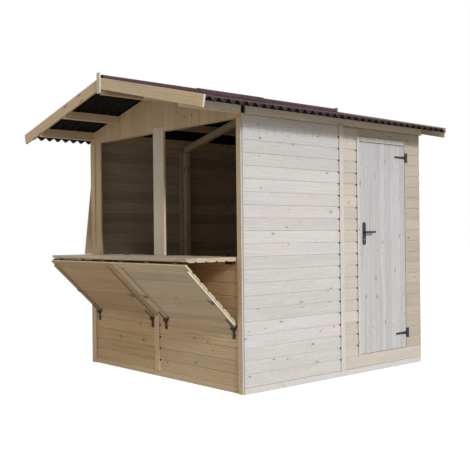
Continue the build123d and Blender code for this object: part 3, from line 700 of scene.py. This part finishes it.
def roofSheet(nodeName, side):
    # rise over the slope = half height * sign(s) * |s|^roundness with s = sin(2 pi y / wave); the lower face
    # is the same wave moved down by the sheet's thickness, and the rim joins the two
    (x0, y0, _), (x1, y1, _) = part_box(nodeName)
    waves = int(round((y1 - y0) / roof["wave"]))
    half = waves * roof["wave"] / 2
    edge = x1 if side > 0 else -x0
    cosTilt, sinTilt = math.cos(roof["pitch"]), math.sin(roof["pitch"])
    tall = roof["high"] / 2
    swing = (roof["high"] - roof["thick"]) / 2
    along = np.linspace(-half, half, waves * roof["perWave"] + 1)
    run = (edge - roof["ridgeGap"] - roof["high"] * sinTilt) / cosTilt
    down = np.linspace(0.0, run, roof["rows"])
    across, slope = np.meshgrid(along, down)
    s = np.sin(2 * np.pi * (across + half) / roof["wave"])
    wave = np.sign(s) * swing * np.abs(s) ** roof["roundness"]
    grids = []
    for offset in (roof["thick"] / 2, -roof["thick"] / 2):
        rise = tall + roof["lift"] + wave + offset
        x = side * (roof["ridgeGap"] + slope * cosTilt + rise * sinTilt)
        z = roofUnder(roof["ridgeGap"]) - slope * sinTilt + rise * cosTilt
        grids.append(np.stack([x, across, z], axis=2).reshape(-1, 3))
    rows, cols = slope.shape
    idx = np.arange(rows * cols).reshape(rows, cols)
    top = np.stack([idx[:-1, :-1], idx[:-1, 1:], idx[1:, 1:], idx[1:, :-1]], axis=-1).reshape(-1, 4)
    bottom = top[:, ::-1] + rows * cols
    border = np.concatenate([idx[0, :], idx[1:, -1], idx[-1, -2::-1], idx[-2:0:-1, 0]])
    ahead = np.roll(border, -1)
    rim = np.stack([border, border + rows * cols, ahead + rows * cols, ahead], axis=1)
    faces = np.concatenate([top, bottom, rim])
    if side > 0:
        faces = faces[:, ::-1]
    verts = np.concatenate(grids)
    marks = np.zeros(len(faces), dtype=int)
    marks[len(top):2 * len(top)] = 1
    sheet = (verts, faces.tolist(), verts, np.zeros(len(verts)), marks)
    obj = makePiece("corrugatedRight" if side > 0 else "corrugatedLeft", [sheet], ["roofTop", "roofUnder"],
                    replaced=[nodeName])
    obj.data.polygons.foreach_set("use_smooth", np.arange(len(faces)) < 2 * len(top))


roofSheet("roof_sheets_left", -1)
roofSheet("roof_sheets_right", 1)
print("roof made")

door = {"boards": 9, "thick": 0.019, "ledge": 0.095, "ledgeAt": (0.180, 0.9285, 1.772), "front": 0.045,
        "back": 0.025, "seed": 21}
doorShape = {"chamfer": 0.003, "scoopHigh": 0.003, "scoopDeep": 0.003, "gap": 0.0006, "inner": 0.002}
doorBoard = (dy1 - dy0) / door["boards"]
leaf = boardRows((dx1, 0, dz0), (0, 0, 1), (0, 1, 0), (-1, 0, 0), dz1 - dz0, dy0, dy1, door["thick"],
                 doorBoard, dy0, doorShape, door["seed"])
makePiece("doorLeaf", leaf, "doorWood", "door_leaf", replaced=["door"])
ledgeRows = []
for rise in door["ledgeAt"]:
    foot = dz0 + rise
    ledgeRows += boardRows((dx0, dy0 + door["front"], 0), (0, 1, 0), (0, 0, 1), (1, 0, 0),
                           dy1 - dy0 - door["front"] - door["back"], foot, foot + door["ledge"],
                           door["thick"], 2 * door["ledge"], foot, doorShape, seed=int(rise * 100))
makePiece("doorLedges", ledgeRows, "doorWood", "door_leaf")
print("door made")

flap = {"boards": 0.019, "deck": 0.016, "deckBoards": 5, "fold": math.radians(136.2), "batten": 0.055,
        "inset": 0.078, "axisOut": 0.535, "axisHigh": 1.115, "edgeGap": 0.001, "length": 0.734,
        "shadowGap": 0.005, "setBack": 0.006, "shadeStripBack": 0.005, "shadeStripThick": 0.006, "shadeStripDrop": 0.013,
        "shadeStripEnd": 0.004, "seeds": {"left": 31, "right": 41}}
flapShape = {"chamfer": 0.004, "scoopHigh": 0.030, "scoopDeep": 0.011, "gap": 0.001, "inner": 0.0012}
propAxis = np.array([frontFace - flap["axisOut"], flap["axisHigh"]])
insideWood = {"left": "leftPropWood", "right": "counterWood"}


def folded(rows):
    # turned about the fold axis: y' = y cos a - z sin a, z' = y sin a + z cos a, measured from the axis
    c, s = math.cos(flap["fold"]), math.sin(flap["fold"])
    out = []
    for verts, faces, grain, tone, marks in rows:
        rel = verts[:, 1:] - propAxis
        turned = np.stack([verts[:, 0], propAxis[0] + rel[:, 0] * c - rel[:, 1] * s,
                           propAxis[1] + rel[:, 0] * s + rel[:, 1] * c], axis=1)
        out.append((turned, faces, grain, tone, marks))
    return out


def flapRows(x0, x1, z, inner, outer, up, thick, pitch, shape, seed):
    # boards along the stall's front, laid from the inner edge outwards
    return boardRows((x0, 0, z), (1, 0, 0), (0, -1, 0), (0, 0, up), x1 - x0, -inner, -outer, thick, pitch,
                     -inner, shape, seed)


def propBattens(hand, x0, x1):
    # the near edges of the two battens on a prop, inset on the side of the other prop
    innerEdge = x1 - flap["inset"] - flap["batten"] if hand == "left" else x0 + flap["inset"]
    return (x0, innerEdge) if hand == "left" else (innerEdge, x1 - flap["batten"])


for hand, seed in flap["seeds"].items():
    (x0, outer, low), (x1, inner, high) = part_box("counter_" + hand)
    counter, prop = hand + "_counter", hand + "_prop"
    rows = flapRows(x0, x1, low, inner, outer, 1, flap["boards"], boardPitch, flapShape, seed)
    # the counter's faces turned to the sun take the near-white third finish: painted sunlight
    makePiece(hand + "CounterBoards", rows, ["wallWood", "wallWood", "paintedSunlitEndWood"], counter)
    # a dark strip under the counter's outer edge fills the gap above the prop: painted shade
    shadeStripAt = outer + flap["shadeStripBack"]
    shadeStrip = [((x0 + flap["shadeStripEnd"], shadeStripAt, low - flap["shadeStripDrop"]),
             (x1 - flap["shadeStripEnd"], shadeStripAt + flap["shadeStripThick"], low))]
    makePiece(hand + "CounterShadeStrip", boxRows(shadeStrip), "roofUnder", counter)
    rows = flapRows(x0, x1, high, inner, outer, -1, flap["deck"], (inner - outer) / flap["deckBoards"],
                    plankShape, seed + 1)
    # its faces turned to the sun take the near-white third finish: painted sunlight
    makePiece(hand + "CounterTop", rows, ["counterWood", "counterWood", "paintedSunlitEndWood"], counter,
              replaced=["counter_" + hand])
    # the prop is laid out flat beyond the counter's outer edge, then folded under it
    start = propAxis[0] - flap["edgeGap"]
    end = start - flap["length"]
    rows = flapRows(x0, x1, low, start, end, 1, flap["boards"], boardPitch, flapShape, seed + 2)
    face = low + flap["boards"]
    gap, back = flap["shadowGap"], flap["setBack"]
    for edge in propBattens(hand, x0, x1):
        foot = np.array([edge, end, face])
        top = np.array([edge + flap["batten"], start - flap["batten"], high])
        if top[0] < sunSide:
            strips = boxRows([(foot, top)])
        else:  # the outer batten stands off the boards on a narrower strip
            strips = boxRows([(foot + (0, 0, gap), top),
                              (foot + (back, back, 0), top - (back, back, high - face - gap))])
        rows += [(v, f, g, t, np.ones(len(f), dtype=int)) for v, f, g, t, _ in strips]
    # the prop's faces turned to the sun take the near-white third finish: painted sunlight
    makePiece(hand + "PropPanel", folded(rows), ["wallWood", insideWood[hand], "paintedSunlitEndWood"], prop,
              replaced=["prop_" + hand])
print("flaps made")

steelBevel = 0.0006
steelPieces = {
    "hingeStraps": ("door_hinge_straps", "door_leaf", "blackSteel"),
    "hingePlates": ("door_hinge_plates", "stall", "blackSteel"),
    "handlePlates": ("door_handle_plates", "door_leaf", "blackSteel"),
    "handleLever": ("door_lever", "lever", "blackSteel"),
    "leftCounterHinges": ("counter_left_fittings", "left_counter", "bronzeSteel"),
    "rightCounterHinges": ("counter_right_fittings", "right_counter", "bronzeSteel"),
    "leftPropFittings": ("prop_left_fittings", "left_prop", "greySteel"),
    "rightPropFittings": ("prop_right_fittings", "right_prop", "greySteel"),
    "frontBrackets": ("front_fittings", "stall", "bronzeSteel"),
}
for pieceName, (nodeName, body, finish) in steelPieces.items():
    nodePiece(pieceName, [nodeName], finish, body, steelBevel)
nodes["ridge_caps"].data.materials.clear()
nodes["ridge_caps"].data.materials.append(finishes["roofTop"])
print("fittings coloured")

# A head is (radius, height); places are distances from the edges or the middle of the piece that it holds
screw = {"segments": 10, "profile": ((0.30, 0.25), (0.42, 0.85), (0.78, 0.95), (1.0, 0.35), (1.0, -0.6)),
         "doorHead": (0.0042, 0.0012), "doorRows": (0.2275, 0.976, 1.8195), "rowSpread": 0.014,
         "plateHead": (0.0036, 0.0014), "plateOut": 0.003, "onStrap": (0.022, 0.068, 0.115),
         "onPlate": (-0.036, 0.0, 0.036), "plateIn": 0.013, "handleIn": 0.012}


def screwRows(places, normal, head):
    # A dome with a socket: profile (share of the radius, share of the height) turned about the screw's axis:
    # P = place + r cos(t) a + r sin(t) b + h normal, closed in the socket by one flat face
    radius, high = head
    normal = np.array(normal, dtype=float)
    a = np.cross(normal, (0, 0, 1) if abs(normal[2]) < 0.9 else (0, 1, 0))
    a /= np.linalg.norm(a)
    b = np.cross(normal, a)
    n = screw["segments"]
    t = np.linspace(0, 2 * np.pi, n, endpoint=False)
    profile = np.array(screw["profile"])[:, :, None, None]
    ring = np.cos(t)[:, None] * a + np.sin(t)[:, None] * b
    shape = (profile[:, 0] * radius * ring[None] + profile[:, 1] * high * normal).reshape(-1, 3)
    i = np.arange(n)
    j = (i + 1) % n
    faces = [i.tolist()]
    for k in range(len(profile) - 1):
        faces += np.stack([i + k * n, i + (k + 1) * n, j + (k + 1) * n, j + k * n], axis=1).tolist()
    faces.append((i[::-1] + (len(profile) - 1) * n).tolist())
    rows = []
    for place in places:
        verts = np.array(place) + shape
        rows.append((verts, faces, verts, np.zeros(len(verts)), np.zeros(len(faces), dtype=int)))
    return rows


def fasteners(name, places, normal, head, finish="greySteel", body="door_leaf"):
    return makePiece(name, screwRows(places, normal, head), finish, body)


outOfDoor = (1, 0, 0)
places = []
for row, rise in enumerate(screw["doorRows"]):
    for board in range(door["boards"]):
        middle = dy0 + (board + 0.5) * doorBoard
        places.append((dx1, middle, dz0 + rise + screw["rowSpread"] * (-1) ** (board + row)))
fasteners("doorScrews", places, outOfDoor, screw["doorHead"], "blackSteel")

places = []
for low, high in solidBoxes("door_hinge_straps"):
    places += [(low[0] + screw["plateOut"], low[1] + along, (low[2] + high[2]) / 2)
               for along in screw["onStrap"]]
(_, plateFront, plateLow), (plateFace, plateBack, plateHigh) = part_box("door_handle_plates")
plateMiddle = (plateFront + plateBack) / 2
places += [(plateFace, plateMiddle, z) for z in (plateLow + screw["handleIn"], plateHigh - screw["handleIn"])]
fasteners("leafScrews", places, outOfDoor, screw["plateHead"])
places = []
for low, high in solidBoxes("door_hinge_plates"):
    places += [(low[0] + screw["plateOut"], high[1] - screw["plateIn"], (low[2] + high[2]) / 2 + rise)
               for rise in screw["onPlate"]]
fasteners("jambScrews", places, outOfDoor, screw["plateHead"], body="stall")

# Lock cylinder on the handle plate below the lever: a socketed dome like the screws', but wider
lock = {"below": 0.060, "head": (0.0085, 0.0022)}
lockPlace = (plateFace, plateMiddle, (plateLow + plateHigh) / 2 - lock["below"])
fasteners("lockCylinder", [lockPlace], outOfDoor, lock["head"], "brightSteel")

# Nails: two a board at the ends of the long walls, and one every so often down each batten
nail = {"onBoard": (0.032, 0.080), "topClear": 0.02, "endIn": 0.026, "jointIn": 0.054, "rearX": (1.135, 0.05),
        "wallHead": (0.0022, 0.0006), "battenHead": (0.0030, 0.0008), "battenStep": 0.33, "battenFoot": 0.06}
rises = (railTop + boardPitch * np.arange(boardsHigh)[:, None] + np.array(nail["onBoard"])).ravel()
rises = rises[rises < wallTop - nail["topClear"]]
nailRows = []
lines = (frontFace + nail["endIn"], panelJoint - nail["jointIn"], rearFace - nail["endIn"])
for side in (-1, 1):
    sidePlaces = [(side * halfWidth, y, z) for y in lines for z in rises]
    nailRows += screwRows(sidePlaces, (side, 0, 0), nail["wallHead"])
outerX, innerX = nail["rearX"]
rearPlaces = [(x, rearFace, z) for x in (-outerX, -innerX, innerX, outerX) for z in rises]
nailRows += screwRows(rearPlaces, (0, 1, 0), nail["wallHead"])
for low, high in battenBoxes:
    thin, outward = facing(low, high)
    normal = outward * (np.arange(3) == thin)
    place = np.where(np.arange(3) == thin, high if outward > 0 else low, (low + high) / 2)
    heights = np.arange(low[2] + nail["battenFoot"], high[2] - batten["endClear"], nail["battenStep"])
    nailRows += screwRows([(place[0], place[1], z) for z in heights], normal, nail["battenHead"])
makePiece("nailHeads", nailRows, "greySteel")

# Keepers on the props: a cranked strap from the batten down to the boards, three boxes wide along y
keeper = {"wide": 0.028, "thick": 0.0025, "onBatten": 0.030, "onBoards": 0.050, "along": 0.440,
          "screws": (0.016, 0.038), "head": (0.0038, 0.0016), "bevel": 0.0004}
for hand in ("left", "right"):
    (x0, _, low), (x1, _, high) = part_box("counter_" + hand)
    face = low + flap["boards"]
    middle = propAxis[0] - keeper["along"]
    thick, reach = keeper["thick"], keeper["wide"] / 2
    rows = []
    for edge in [x for x in propBattens(hand, x0, x1) if x != x0]:
        straps = (((edge - thick, high), (edge + keeper["onBatten"], high + thick)),
                  ((edge - thick, face + thick), (edge, high)),
                  ((edge - keeper["onBoards"], face), (edge, face + thick)))
        rows += boxRows([((ax, middle - reach, az), (bx, middle + reach, bz))
                         for (ax, az), (bx, bz) in straps])
        onBoards = [(edge - x, middle, face + thick) for x in keeper["screws"]]
        rows += screwRows(onBoards, (0, 0, 1), keeper["head"])
        onBatten = (edge + keeper["screws"][0], middle, high + thick)
        rows += screwRows([onBatten], (0, 0, 1), keeper["head"])
    makePiece(hand + "Keepers", folded(rows), "greySteel", hand + "_prop", keeper["bevel"])
print("screws, nails and keepers made")

stage = {"half": 40.0, "glow": 1.5, "glowShare": 0.62, "floor": (0.80, 0.74, 0.66, 1), "floorRough": 0.9,
         "sky": (1.0, 0.95, 0.88, 1), "skyStrength": 0.45, "white": (1, 1, 1, 1)}
sun = {"direction": (-0.88, 0.16, -0.44), "strength": 2.1, "angle": math.radians(12),
       "colour": (0.97, 1.0, 1.04)}


def paleFloor():
    # diffuse floor that keeps shadows, with white light added for the camera only
    mesh = bpy.data.meshes.new("floor")
    half = stage["half"]
    corners = [(-half, -half, 0), (half, -half, 0), (half, half, 0), (-half, half, 0)]
    mesh.from_pydata(corners, [], [(0, 1, 2, 3)])
    floor = bpy.data.objects.new("floor", mesh)
    bpy.context.scene.collection.objects.link(floor)
    mat, tree, shader = newMaterial("paleFloor")
    shader.inputs["Base Color"].default_value = stage["floor"]
    shader.inputs["Roughness"].default_value = stage["floorRough"]
    shader.inputs["Specular IOR Level"].default_value = 0.0
    path = addNode(tree, "ShaderNodeLightPath")
    glow = addNode(tree, "ShaderNodeEmission", None, {"Color": stage["white"], "Strength": stage["glow"]})
    out = [n for n in tree.nodes if n.bl_idname == "ShaderNodeOutputMaterial"][0]
    share = times(path.outputs["Is Camera Ray"], stage["glowShare"])
    mix = addNode(tree, "ShaderNodeMixShader", None, {0: share, 1: shader.outputs[0], 2: glow.outputs[0]})
    tree.links.new(mix.outputs[0], out.inputs["Surface"])
    mesh.materials.append(mat)


def paleSky():
    # soft light from all round, seen as plain white by the camera, in gloss and through glass
    world = bpy.data.worlds.new("paleSurround")
    bpy.context.scene.world = world
    world.use_nodes = True
    tree = world.node_tree
    tree.nodes.clear()
    out = tree.nodes.new("ShaderNodeOutputWorld")
    path = tree.nodes.new("ShaderNodeLightPath")
    seen = plus(path.outputs["Is Camera Ray"], path.outputs["Is Glossy Ray"], True)
    seen = plus(seen, path.outputs["Is Transmission Ray"], True)
    glow = {"Color": stage["sky"], "Strength": stage["skyStrength"]}
    light = addNode(tree, "ShaderNodeBackground", None, glow)
    white = addNode(tree, "ShaderNodeBackground", None, {"Color": stage["white"], "Strength": 1.0})
    mix = addNode(tree, "ShaderNodeMixShader", None, {0: seen, 1: light.outputs[0], 2: white.outputs[0]})
    tree.links.new(mix.outputs[0], out.inputs["Surface"])


def softSun():
    lamp = bpy.data.lights.new("keySun", "SUN")
    lamp.energy = sun["strength"]
    lamp.angle = sun["angle"]
    lamp.color = sun["colour"]
    obj = bpy.data.objects.new("keySun", lamp)
    bpy.context.scene.collection.objects.link(obj)
    obj.rotation_euler = Vector(sun["direction"]).to_track_quat("-Z", "Y").to_euler()


paleFloor()
paleSky()
softSun()

view = {"place": (6.0893, -5.2802, 1.3436), "look": (-0.755002, 0.655723, -0.00033), "lens": 59.5175,
        "roll": math.radians(-0.6228)}
camData = bpy.data.cameras.new("photoCamera")
camData.lens = view["lens"]
camData.sensor_width = 36.0
cam = bpy.data.objects.new("photoCamera", camData)
bpy.context.scene.collection.objects.link(cam)
aim = Vector(view["look"]).to_track_quat("-Z", "Y").to_matrix().to_4x4()
cam.matrix_world = Matrix.Translation(view["place"]) @ aim @ Matrix.Rotation(view["roll"], 4, "Z")
bpy.context.scene.camera = cam
bpy.context.scene.view_settings.view_transform = "Standard"
print("stage set")
